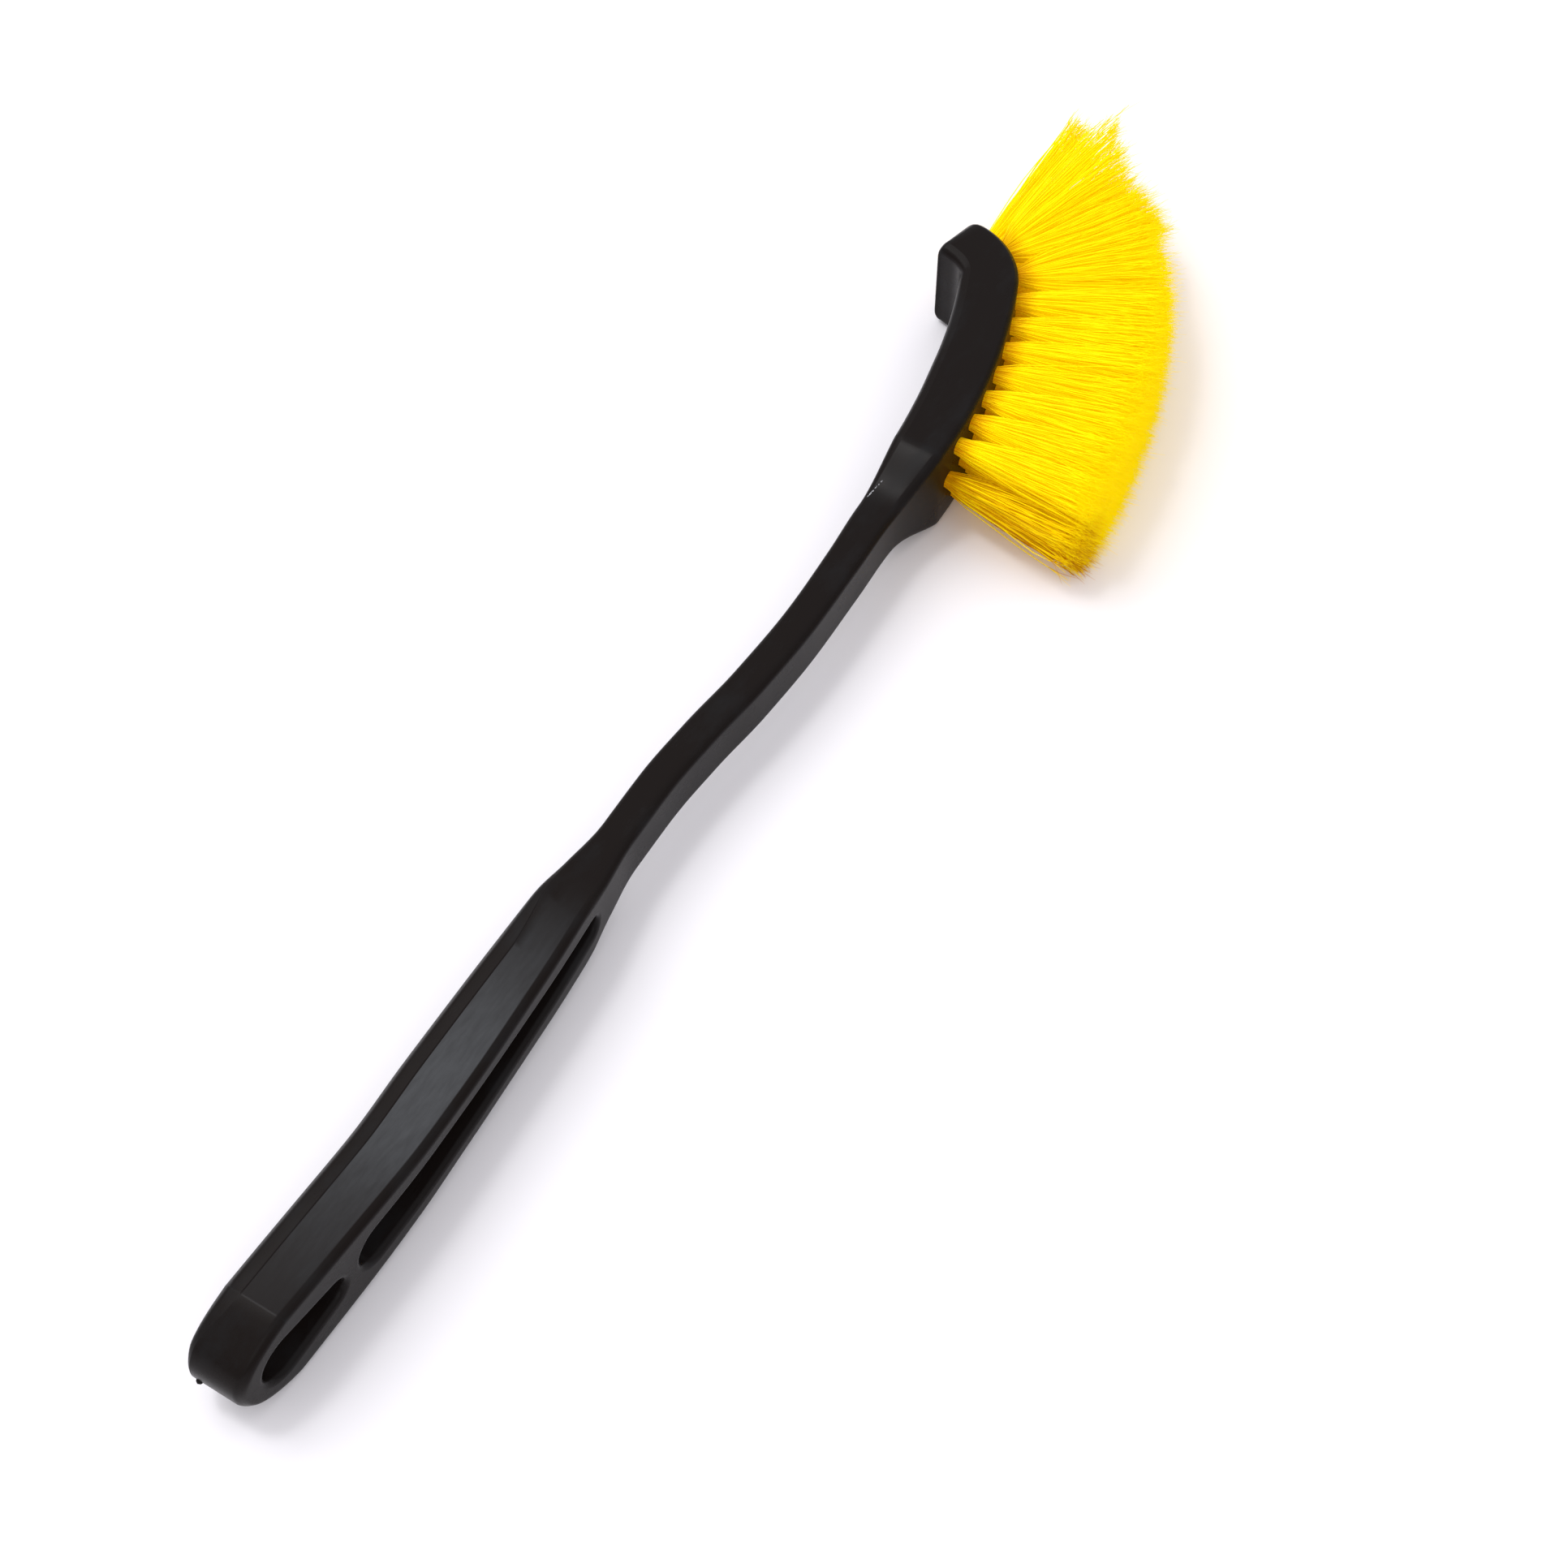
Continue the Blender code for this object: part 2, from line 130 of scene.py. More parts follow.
@dataclass(frozen=True)
class HandleForm:
    """The handle's lengths and the map from its own coordinates to the row frame, in mm."""

    grip_length: float = 150.0
    neck_length: float = 133.0
    ramp_length: float = 20.0
    end_length: float = 16.0
    end_rounding: float = 24.0
    end_thickness: float = 15.5
    grip_end_width: float = 30.6
    grip_waist_width: float = 22.4
    grip_thickness: float = 18.6
    grip_neck_thickness: float = 12.4
    neck_width: float = 16.2
    neck_thickness: float = 9.4
    neck_end_thickness: float = 10.4
    neck_crest: float = 1.5
    neck_dip: float = -2.7
    head_width: float = 31.0
    heel_thickness: float = 14.6
    head_thickness: float = 16.4
    bend_thickness: float = 15.9
    cap_thickness: float = 14.8
    heel_y: float = -9.3
    face_radius: float = 165.0
    face_turn: float = math.radians(22.8)
    tip_radius: float = 23.5
    tip_turn: float = math.radians(71.3)
    cap_tilt: float = math.radians(-16.5)

    @property
    def lowest_y(self) -> float:
        """Where the shaft reaches farthest to the bristle side."""
        return float(self.front(np.linspace(0, self.heel, 400))[:, 1].min())

    @property
    def neck_end(self) -> float:
        """Where the neck meets the ramp of the head."""
        return self.grip_length + self.neck_length

    @property
    def heel(self) -> float:
        """Where the bristle face starts."""
        return self.neck_end + self.ramp_length

    @property
    def face_length(self) -> float:
        """Length of the gentle arc of the bristle face."""
        return self.face_radius * self.face_turn

    @property
    def tip_length(self) -> float:
        """Length of the tight arc round the tip."""
        return self.tip_radius * self.tip_turn

    @property
    def length(self) -> float:
        """Length along the whole handle."""
        return self.heel + self.face_length + self.tip_length

    @property
    def middle_height(self) -> float:
        """Height of the middle plane over the floor."""
        return self.head_width / 2

    def centre(self, s: Array) -> Array:
        """Middle of the grip's and neck's thickness at s."""
        g, n = self.grip_length, self.neck_length
        return Curve((
            (0, -0.8), (0.13 * g, -1.5), (0.4 * g, -2.3), (0.55 * g, -1.4), (0.78 * g, -0.1),
            (0.93 * g, 0.6), (g + 0.11 * n, 1.2), (g + 0.24 * n, self.neck_crest),
            (g + 0.38 * n, 0.4), (g + 0.53 * n, -1.7), (g + 0.7 * n, self.neck_dip),
            (g + 0.87 * n, -2.0), (self.neck_end, -1.1),
            (self.heel, self.heel_y + self.heel_thickness / 2)))(s)

    def thickness(self, s: Array) -> Array:
        """Thickness from the bristle side to the back at s."""
        g, n, t, k = self.grip_length, self.neck_length, self.grip_thickness, self.neck_thickness
        shaft = Curve((
            (0, self.end_thickness), (0.02 * g, 0.9 * t), (0.13 * g, 0.94 * t),
            (0.4 * g, 0.97 * t), (0.55 * g, t), (0.78 * g, 0.93 * t), (0.93 * g, 0.8 * t),
            (g, self.grip_neck_thickness), (g + 0.11 * n, k), (g + 0.7 * n, k),
            (self.neck_end, self.neck_end_thickness), (self.heel, self.heel_thickness)))
        face, tip = self.face_length, self.tip_length
        head = Curve((
            (0, self.heel_thickness), (0.25 * face, 0.96 * self.head_thickness),
            (0.5 * face, self.head_thickness), (face, self.head_thickness),
            (face + 0.25 * tip, self.bend_thickness), (face + 0.6 * tip, self.bend_thickness),
            (face + tip, self.cap_thickness)))
        return np.where(s <= self.heel, shaft(s), head(s - self.heel))

    def half_width(self, s: Array) -> Array:
        """Half of the width at s, past the rounded loop end."""
        g, n, wide, waist = (self.grip_length, self.neck_length, self.grip_end_width,
                             self.grip_waist_width)
        shaft = Curve((
            (self.end_length, wide), (0.27 * g, 0.94 * wide), (0.53 * g, 1.05 * waist),
            (0.67 * g, waist), (0.91 * g, waist), (g, 1.1 * self.neck_width),
            (g + 0.11 * n, self.neck_width), (self.neck_end, self.neck_width),
            (self.heel, self.head_width)))
        return np.where(s <= self.heel, shaft(s), self.head_width) / 2

    def face(self, s: Array) -> tuple[Array, Array]:
        """Points and headings along the bristle face.

        Args:
            s: Distance from the heel.

        Returns:
            Points of two arcs that share a tangent, and the heading at each.
        """
        turn = np.clip(s, 0, self.face_length) / self.face_radius
        more = np.maximum(s - self.face_length, 0) / self.tip_radius
        joint = self.face_turn
        x = self.heel + self.face_radius * np.sin(turn)
        y = self.heel_y + self.face_radius * (1 - np.cos(turn))
        x = x + self.tip_radius * (np.sin(joint + more) - math.sin(joint))
        y = y - self.tip_radius * (np.cos(joint + more) - math.cos(joint))
        return stack(x, y), turn + more

    def front(self, s: Array) -> Array:
        """Points of the bristle side's middle line at s."""
        shaft = stack(s, self.centre(np.minimum(s, self.heel)) - self.thickness(s) / 2)
        on_face, _ = self.face(s - self.heel)
        return np.where((s <= self.heel)[..., None], shaft, on_face)

    def lean(self, s: Array) -> Array:
        """Angle of the cross-section at s: it turns with the face, and a little back at the cap."""
        _, heading = self.face(s - self.heel)
        past = np.clip((s - self.heel - self.face_length) / self.tip_length, 0, 1)
        return heading + self.cap_tilt * past

    def place(self, s: Array, w: Array, u: Array) -> Array:
        """Points in the row frame, in metres.

        Args:
            s: Distance along the handle.
            w: Distance from the middle plane.
            u: Depth from the bristle side.

        Returns:
            The front point at s, moved u along the cross-section's own direction and w up.
        """
        s, w, u = np.broadcast_arrays(s, w, u)
        start, angle = self.front(s), self.lean(s)
        x = start[..., 0] - u * np.sin(angle)
        y = start[..., 1] + u * np.cos(angle)
        return self.to_frame(stack(x, y, w + self.middle_height))

    def to_frame(self, points: Array) -> Array:
        """Points of the form, whose x starts at the loop end, in the row frame in metres."""
        corner = np.array(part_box("handle")[0])
        return points * MM + corner - np.array([0.0, self.lowest_y, 0.0]) * MM


@dataclass(frozen=True)
class Opening:
    """A tapered hole through the grip: two round ends and their common tangents, in mm."""

    start: float
    length: float
    radii: Pair

    @property
    def end(self) -> float:
        """Where the opening ends."""
        return self.start + self.length

    @property
    def centres(self) -> Pair:
        """Centres of the two round ends."""
        return self.start + self.radii[0], self.end - self.radii[1]

    def outline(self, first: int, straight: int, last: int) -> tuple[Array, Array]:
        """Upper half of the outline.

        Args:
            first: Steps round the end near the loop.
            straight: Steps along the tangent.
            last: Steps round the other end.

        Returns:
            Points (s, w) and outward normals: two arcs and the tangent line between them.
        """
        near, far = self.centres
        tilt = math.asin((self.radii[0] - self.radii[1]) / (far - near))
        top = math.pi / 2 - tilt
        angles = np.concatenate((
            np.linspace(math.pi, top, first + 1)[:-1], np.full(straight, top),
            np.linspace(top, 0, last + 1)))
        share = np.concatenate((np.zeros(first), np.linspace(0, 1, straight + 1)[:-1],
                                np.ones(last + 1)))
        normals = stack(np.cos(angles), np.sin(angles))
        normals[0], normals[-1] = (-1, 0), (1, 0)
        radius = self.radii[0] + (self.radii[1] - self.radii[0]) * share
        points = radius[:, None] * normals
        points[:, 0] += near + (far - near) * share
        return points, normals


class Skin:
    """Grids of points that are joined into one closed mesh."""

    def __init__(self) -> None:
        """Start with no points."""
        self.points: list[Array] = []
        self.faces: list[Array] = []
        self.count = 0

    def add(self, points: Array, faces: Array) -> None:
        """Add points and the faces that join them.

        Args:
            points: Points in metres, one to a row.
            faces: Corner numbers, one face to a row.
        """
        self.points.append(points.reshape(-1, 3))
        self.faces.append(faces.reshape(-1, faces.shape[-1]) + self.count)
        self.count += len(self.points[-1])

    def grid(self, points: Array) -> None:
        """Add a grid of quads, row by row.

        Args:
            points: Grid of points, rows by columns by 3.
        """
        rows, columns = points.shape[:2]
        index = np.arange(rows * columns).reshape(rows, columns)
        self.add(points, stack(index[:-1, :-1], index[1:, :-1], index[1:, 1:], index[:-1, 1:]))

    def rings(self, points: Array) -> None:
        """Add a closed tube of rings with both ends capped.

        Args:
            points: Rings of points, rings by corners by 3.
        """
        self.grid(np.concatenate([points, points[:, :1]], 1))
        for ring in (points[0], points[-1]):
            middle = ring.mean(0)[None]
            corners = np.arange(len(ring))
            spokes = stack(len(ring), corners, np.roll(corners, -1))
            self.add(np.concatenate([ring, middle]), spokes)

    def mesh(self, name: str) -> bpy.types.Mesh:
        """A mesh of all the points and faces so far."""
        mesh = bpy.data.meshes.new(name)
        faces = [face for block in self.faces for face in block.tolist()]
        mesh.from_pydata(np.concatenate(self.points).tolist(), [], faces)
        return mesh

    def build(self, name: str) -> bpy.types.Object:
        """Merge the shared edges of the grids and turn every face outwards.

        Args:
            name: Name of the new object.

        Returns:
            The object, linked to the scene.
        """
        mesh = self.mesh(name)
        work = bmesh.new()
        work.from_mesh(mesh)
        bmesh.ops.remove_doubles(work, verts=work.verts, dist=MERGE_DISTANCE)
        bmesh.ops.dissolve_degenerate(work, edges=work.edges, dist=MERGE_DISTANCE)
        bmesh.ops.recalc_face_normals(work, faces=work.faces)
        work.to_mesh(mesh)
        work.free()
        return add_object(name, mesh)


def rounded_corners(corners: Array, radii: Sequence[float], steps: int) -> Array:
    """Profiles with their inner corners rounded.

    Args:
        corners: Profiles by corners by 2.
        radii: How far from each inner corner its rounding starts.
        steps: Steps in each rounding.

    Returns:
        Profiles by points by 2: the first corner, a parabola at each inner corner that
        touches both its sides, and the last corner.
    """
    parts = [corners[:, :1]]
    t = np.linspace(0, 1, steps + 1)[None, :, None]
    for k, radius in enumerate(radii, start=1):
        corner = corners[:, k]
        ends = []
        for other in (corners[:, k - 1], corners[:, k + 1]):
            away = other - corner
            length = np.linalg.norm(away, axis=1, keepdims=True)
            ends.append(corner + away * np.minimum(radius / np.maximum(length, 1e-9), 0.45))
        start, end, middle = ends[0][:, None], ends[1][:, None], corner[:, None]
        parts.append(start * (1 - t) ** 2 + 2 * middle * t * (1 - t) + end * t ** 2)
    parts.append(corners[:, -1:])
    return np.concatenate(parts, 1)


@dataclass
class Handle:
    """The one-piece moulded handle: grip, neck, hooked head and bores."""

    form: HandleForm = field(default_factory=HandleForm)
    hanging_hole: Opening = Opening(6.4, 28.2, (7.0, 4.2))
    grip_slot: Opening = Opening(40.6, 103.4, (6.2, 3.4))
    hole_steps: tuple[int, int, int] = (20, 9, 10)
    slot_steps: tuple[int, int, int] = (12, 62, 10)
    free_steps: int = 88
    cap_steps: int = 6
    rim_radius: float = 1.7
    edge_bevel: float = 1.5
    edge_rounding: float = 0.7
    grip_bevel: Pair = (5.4, 3.0)
    head_bevel: Pair = (3.0, 2.0)
    bevel_knee: Pair = (0.35, 0.3)
    groove_depth: float = 0.14
    groove_start: Pair = (14.0, 18.0)
    groove_end: Pair = (134.0, 141.0)
    face_margin: float = 1.4
    cap_corner: float = 4.5
    end_reach: float = 1.2
    end_crease: float = 0.2
    gate_radius: float = 0.9
    gate_height: float = 1.2
    gate_place: Place = (-0.5, 4.0, -3.0)
    bore_radius: float = 2.6
    bore_depth: float = 8.0

    def columns(self) -> tuple[Array, Array, Array, Array]:
        """Stations from the loop end to the tip, for the upper half.

        Each inner point has an outer one, so both lines are cut into the same steps.  Towards
        the tip the inner points stop short of the end and fan out to the rounded cap.

        Returns:
            Inner points (the openings' outlines, or the middle line between them), their
            outward normals, outer points along the handle's outline and their normals.
        """
        form, rim = self.form, self.rim_radius
        hole, slot = self.hanging_hole, self.grip_slot
        hole_first, hole_straight, hole_last = self.hole_steps
        slot_first, slot_straight, slot_last = self.slot_steps
        hole_points, hole_normals = hole.outline(*self.hole_steps)
        slot_points, slot_normals = slot.outline(*self.slot_steps)
        web = np.linspace(hole.end + rim, slot.start - rim, 5)[1:-1]
        cap_start = form.length - self.cap_corner
        rest = np.concatenate((
            np.linspace(slot.end + rim, form.neck_end, self.free_steps)[1:],
            np.linspace(form.neck_end, cap_start, self.free_steps)[1:]))
        last_turn = math.acos(1 - form.end_length / form.end_rounding)
        just_before = 0.985 * last_turn
        round_end = np.append(np.linspace(0, just_before, hole_first), last_turn)
        end_s = form.end_rounding * (1 - np.cos(round_end))
        end_s -= self.end_reach * (1 - end_s / form.end_length)
        outer_s = np.concatenate((
            np.linspace(form.end_length + self.end_crease, hole.centres[1], hole_straight),
            np.linspace(hole.centres[1], hole.end + rim, hole_last + 1)[1:],
            web, np.linspace(slot.start - rim, slot.centres[0], slot_first + 1)[:-1],
            np.linspace(slot.centres[0], slot.centres[1], slot_straight + 1),
            np.linspace(slot.centres[1], slot.end + rim, slot_last + 1)[1:], rest))
        end_width = form.grip_end_width / 2
        corner = np.linspace(0, math.pi / 2, self.cap_steps)[1:]
        tip_width = form.head_width / 2 - self.cap_corner
        outer = np.concatenate((
            stack(end_s, end_width * (np.sin(round_end) / math.sin(last_turn)) ** 0.9),
            stack(outer_s, form.half_width(outer_s)),
            stack(cap_start + self.cap_corner * np.sin(corner),
                  tip_width + self.cap_corner * np.cos(corner)),
            stack(form.length, np.linspace(tip_width, 0, self.cap_steps + 1)[1:])))
        tangent = np.gradient(outer, axis=0)
        normal = stack(-tangent[:, 1], tangent[:, 0])
        normal[0], normal[-1] = (-1, 0), (1, 0)
        normal = unit(normal)
        tail = len(corner) + self.cap_steps
        fan_start = form.length - 1.4 * form.head_width
        fan = rest > fan_start
        last = form.length - self.head_bevel[1] - 2.2 * self.face_margin
        spread = np.linspace(rest[fan][0], last, fan.sum() + tail)
        inner_s = np.concatenate((rest[~fan], spread))
        inner = np.concatenate((hole_points, stack(web, 0.0), slot_points, stack(inner_s, 0.0)))
        inner_normal = np.concatenate((
            hole_normals, np.zeros((len(web), 2)), slot_normals, np.zeros((len(inner_s), 2))))
        return inner, inner_normal, outer, normal

    def side_profile(self, s: Array) -> tuple[Array, Array, Array]:
        """Profile from the bristle side over the edge, the flat and the back bevel to the back.

        Args:
            s: Stations.

        Returns:
            Inset from the outline, share of the thickness, and depth added to that share, each
            stations by points.  The corners are an edge bevel, the flat and a two-part back
            bevel with a fine groove along its crease.
        """
        form = self.form
        thick = form.thickness(s)
        wide, high = (
            Curve((
                (0, self.edge_bevel), (form.end_length, grip), (0.8 * form.grip_length, grip),
                (form.grip_length, self.edge_bevel), (form.neck_end, self.edge_bevel),
                (form.heel, head)))(np.minimum(s, form.heel))
            for grip, head in zip(self.grip_bevel, self.head_bevel))
        groove = self.groove_depth * step(s, *self.groove_start) * (1 - step(s, *self.groove_end))
        edge = np.full_like(s, self.edge_bevel)
        zero = 0 * s
        crease = thick - wide
        knee_in, knee_up = self.bevel_knee
        front = np.stack([
            stack(edge + self.face_margin, zero), stack(edge, zero),
            stack(zero, edge), stack(zero, thick / 2)], 1)
        back = np.stack([
            stack(zero, thick / 2), stack(zero, crease - 0.18), stack(groove, crease),
            stack(0.25 * groove, crease + 0.2), stack(knee_in * high, thick - knee_up * wide),
            stack(high, thick), stack(high + self.face_margin, thick)], 1)
        front = rounded_corners(front, (self.edge_rounding, self.edge_rounding), 4)
        back = rounded_corners(back, (0.12, 0.05, 0.12, 0.8, 0.9), 4)
        across = np.linspace(0, 1, 5)[None, 1:-1, None]
        first, last = front[:, -2:-1], back[:, 1:2]
        flat = first + (last - first) * across
        points = np.concatenate((front[:, :-1], flat, back[:, 1:]), 1)
        share = np.concatenate((
            np.zeros(front.shape[1] - 1), across[0, :, 0], np.ones(back.shape[1] - 1)))
        share = np.broadcast_to(share, points.shape[:2])
        return points[..., 0], share, points[..., 1] - share * thick[:, None]

    def shell(self) -> bpy.types.Object:
        """Closed skin of the moulding, before the gate mark and the bores.

        Returns:
            The object.  Its upper half has four kinds of grid, and its lower half mirrors them.
        """
        form, rim = self.form, self.rim_radius
        inner, inner_normal, outer, normal = self.columns()
        inset, share, added = self.side_profile(outer[:, 0])
        skin = Skin()
        start = inner + rim * inner_normal
        for side in (1.0, -1.0):
            s = outer[:, :1] - inset * normal[:, :1]
            w = outer[:, 1:] - inset * normal[:, 1:]
            skin.grid(form.place(s, side * w, share * form.thickness(s) + added))
            across = np.linspace(0, 1, 9)
            for end, whole in ((0, 0.0), (-1, 1.0)):
                edge = outer - inset[:, end, None] * normal
                between = start[:, None] + (edge - start)[:, None] * across[None, :, None]
                s, w = between[..., 0], between[..., 1]
                skin.grid(form.place(s, side * w, whole * form.thickness(s)))
            self.tunnels(skin, inner, inner_normal, side)
        return skin.build("handle_moulding")

    def tunnels(self, skin: Skin, inner: Array, normal: Array, side: float) -> None:
        """Add the walls of the openings and their rounded rims.

        Args:
            skin: Skin to add them to.
            inner: Inner points of the columns.
            normal: Their outward normals, which are nothing where there is no opening.
            side: 1 for the upper half, -1 for the lower.
        """
        form, rim = self.form, self.rim_radius
        turn = np.linspace(math.pi / 2, 0, 6)
        out = rim * (1 - np.cos(turn))
        down = rim * (1 - np.sin(turn))
        wall = np.linspace(0, 1, 5)[1:-1]
        offset = np.concatenate((out, 0 * wall, out[::-1]))
        share = np.concatenate((0 * turn, wall, 1 + 0 * turn))
        added = np.concatenate((down, rim * (1 - 2 * wall), -down[::-1]))
        open_here = np.abs(normal).sum(1) > 0
        edges = np.flatnonzero(np.diff(np.concatenate(([0], open_here, [0]))))
        for first, last in edges.reshape(-1, 2):
            s = inner[first:last, :1] + offset * normal[first:last, :1]
            w = inner[first:last, 1:] + offset * normal[first:last, 1:]
            skin.grid(form.place(s, side * w, share * form.thickness(s) + added))

    def gate_mark(self) -> bpy.types.Object:
        """The stub of the moulding's gate: a rod with a rounded end on the loop end's face."""
        height = np.linspace(-1.0, 1.0, 9)[:, None]
        turn = np.linspace(0, 2 * math.pi, 25)[None, :-1]
        radius = self.gate_radius * (1 - np.maximum(height, 0) ** 2) ** 0.5 + 0.05
        x, y, z = self.gate_place
        rings = stack(x - self.gate_height * height, y + radius * np.cos(turn),
                      self.form.middle_height + z + radius * np.sin(turn))
        skin = Skin()
        skin.rings(self.form.to_frame(rings))
        return skin.build("gate_mark")

    def build(self, bores: bpy.types.Object) -> bpy.types.Object:
        """The finished moulding.

        Args:
            bores: Cutter with every bore.

        Returns:
            The handle, with the gate mark joined on and the bores cut.
        """
        body = self.shell()
        apply_boolean(body, self.gate_mark(), "UNION")
        apply_boolean(body, bores, "DIFFERENCE")
        body.data.shade_smooth()
        body.data.set_sharp_from_angle(angle=math.radians(38))
        return body


def apply_boolean(item: bpy.types.Object, tool: bpy.types.Object, operation: str) -> None:
    """Cut or join a tool with an exact Boolean, and remove it.

    Args:
        item: Object that is changed.
        tool: Object that is used up.
        operation: UNION or DIFFERENCE.
    """
    modifier = item.modifiers.new("join", "BOOLEAN")
    modifier.operation = operation
    modifier.solver = "EXACT"
    modifier.object = tool
    shape = item.evaluated_get(bpy.context.evaluated_depsgraph_get())
    mesh = bpy.data.meshes.new_from_object(shape)
    old = item.data
    item.modifiers.clear()
    item.data = mesh
    bpy.data.meshes.remove(old)
    bpy.data.objects.remove(tool)


class Row(Enum):
    """The rows of tufts: side of the middle plane, number, margins at heel and tip, and how
    far the last tuft spreads to the heel and to the tip, as shares of its usual spread."""

    UPPER = (1, 9, 10.0, 12.5, (1.0, 1.75))
    MIDDLE = (0, 11, 5.2, 4.6, (2.1, 0.85))
    LOWER = (-1, 9, 10.0, 12.5, (1.0, 1.75))

    def __init__(self, side: int, count: int, heel_margin: float, tip_margin: float,
                 last_spread: Pair) -> None:
        """Name the row's numbers."""
        self.side = side
        self.count = count
        self.heel_margin = heel_margin
        self.tip_margin = tip_margin
        self.last_spread = last_spread

    @property
    def label(self) -> str:
        """The row's part of a node's name."""
        return self.name.lower()


@dataclass
class Tuft:
    """One tuft of folded filaments, with its place on the face, its sizes in mm and the angles
    by which the end tufts splay in degrees."""

    form: HandleForm
    row: Row
    number: int
    folded: int = 190
    segments: int = 8
    filament_radius: float = 0.16
    flag_radius: float = 0.075
    flag_lengths: Pair = (3.0, 9.0)
    flag_spread: float = 1.45
    root_radius: float = 2.3
    row_spacing: float = 9.0
    row_lean: float = 1.6
    end_splay: Pair = (-3.0, -1.5)
    splay_fade: int = 6
    length: float = 41.7
    tip_extra: float = 23.0
    overlap: float = 0.56
    spread_across: float = 4.9
    spread_power: float = 0.75
    first_spread: float = 0.7
    tip_scatter: float = 1.5
    shortfall: Pair = (1.3, 3.4)
    bow: float = 3.0
    wave: float = 0.5
    stray_lean: float = 14.0
    stray_extra: float = 12.0
    floor_gap: float = 0.35
    anchor_depth: float = 5.3
    anchor_sides: Pair = (0.55, 1.9)
    fold_depth: float = 7.4

    @property
    def name(self) -> str:
        """Name of the tuft's node without its first word."""
        return f"{self.row.label}_{self.number:02d}"

    @property
    def pitch(self) -> float:
        """Distance between neighbours in the row."""
        row = self.row
        whole = self.form.face_length + self.form.tip_length
        return (whole - row.heel_margin - row.tip_margin) / (row.count - 1)

    @property
    def spot(self) -> float:
        """Distance of the tuft from the heel along the face."""
        return self.row.heel_margin + (self.number - 1) * self.pitch

    def free_length(self, s: Array) -> Array:
        """Length of the bristles out of the face at a distance s from the heel."""
        form = self.form
        start = 0.9 * form.face_length
        into_tip = np.maximum(0, s - start) / (form.face_length + form.tip_length - start)
        return self.length + self.tip_extra * np.minimum(into_tip, 1.0) ** 4

    def axes(self) -> tuple[Array, Array, Array, Array]:
        """Root point and the directions along the row, across the rows and out of the bore."""
        point, heading = self.form.face(np.array(self.spot))
        height = self.form.middle_height + self.row.side * self.row_spacing
        along = np.array([math.cos(heading), math.sin(heading), 0.0])
        out = np.array([math.sin(heading), -math.cos(heading), 0.0])
        return np.array([*point, height]), along, np.cross(out, along), out

    def splay(self) -> float:
        """Angle by which the tuft leans along the row: the outermost ones lean outwards."""
        share = (self.number - 1) / (self.row.count - 1)
        at_heel, at_tip = self.end_splay
        return math.radians(
            at_heel * (1 - share) ** self.splay_fade + at_tip * share ** self.splay_fade)

    def legs(self, rng: np.random.Generator) -> Array:
        """Free paths of the filaments, two for each folded one, in the tuft's own axes.

        Args:
            rng: Random numbers of this tuft.

        Returns:
            Paths by points by 3.  A filament leaves the mouth of the bore at a random place of
            a disc, and spreads with a power of the way to its tip's place, which is even along
            the row and overlaps the next tuft's, with a slow bow and a small wave of its own.
            One stray filament leans out of the upper row's last tuft.
        """
        form, row = self.form, self.row
        number = 2 * self.folded
        radius = np.sqrt(rng.uniform(0, 1, number))
        angle = rng.uniform(0, math.pi, number) * np.repeat([1, -1], self.folded)
        mouth = stack(radius * np.cos(angle), radius * np.sin(angle))
        curve = form.tip_radius if self.spot > form.face_length else form.face_radius
        fan = 1 + self.free_length(self.spot) / curve
        share = mouth[:, 0]
        even = 2 / math.pi * (share * np.sqrt(1 - share ** 2) + np.arcsin(share))
        tip = stack(even * self.overlap * self.pitch * fan, self.spread_across * mouth[:, 1])
        if self.number == row.count:
            to_heel, to_tip = row.last_spread
            tip[:, 0] *= np.where(tip[:, 0] > 0, to_tip, to_heel)
        if self.number == 1:
            tip[:, 0] *= np.where(tip[:, 0] < 0, self.first_spread, 1.0)
        tip = tip + rng.normal(0, self.tip_scatter, (number, 2))
        reach = self.free_length(self.spot + tip[:, 0] / fan)
        into_tip = max(0.0, (self.spot - form.face_length) / form.tip_length)
        on_face, at_tip = self.shortfall
        reach = reach - np.abs(rng.normal(0, on_face + at_tip * into_tip, number))
        if self.number == row.count and row is Row.UPPER:
            tip[0, 0] += self.stray_lean
            reach[0] += self.stray_extra
        t = np.linspace(0, 1, self.segments + 1)[None, :, None]
        spread = t ** self.spread_power
        flat = self.root_radius * mouth[:, None] * (1 - spread) + tip[:, None] * spread
        flat = flat + rng.normal(0, self.bow, (number, 1, 2)) * (t ** 2 - t) * t
        wave = rng.uniform(0, 2 * math.pi, (number, 1, 2))
        flat = flat + self.wave * t * np.sin(wave + t * rng.uniform(4, 11, (number, 1, 2)))
        out = reach[:, None, None] * t
        flat[..., :1] += math.tan(self.splay()) * out
        flat[..., 1:] += row.side * self.row_lean * t
        return np.concatenate((flat, out), -1)

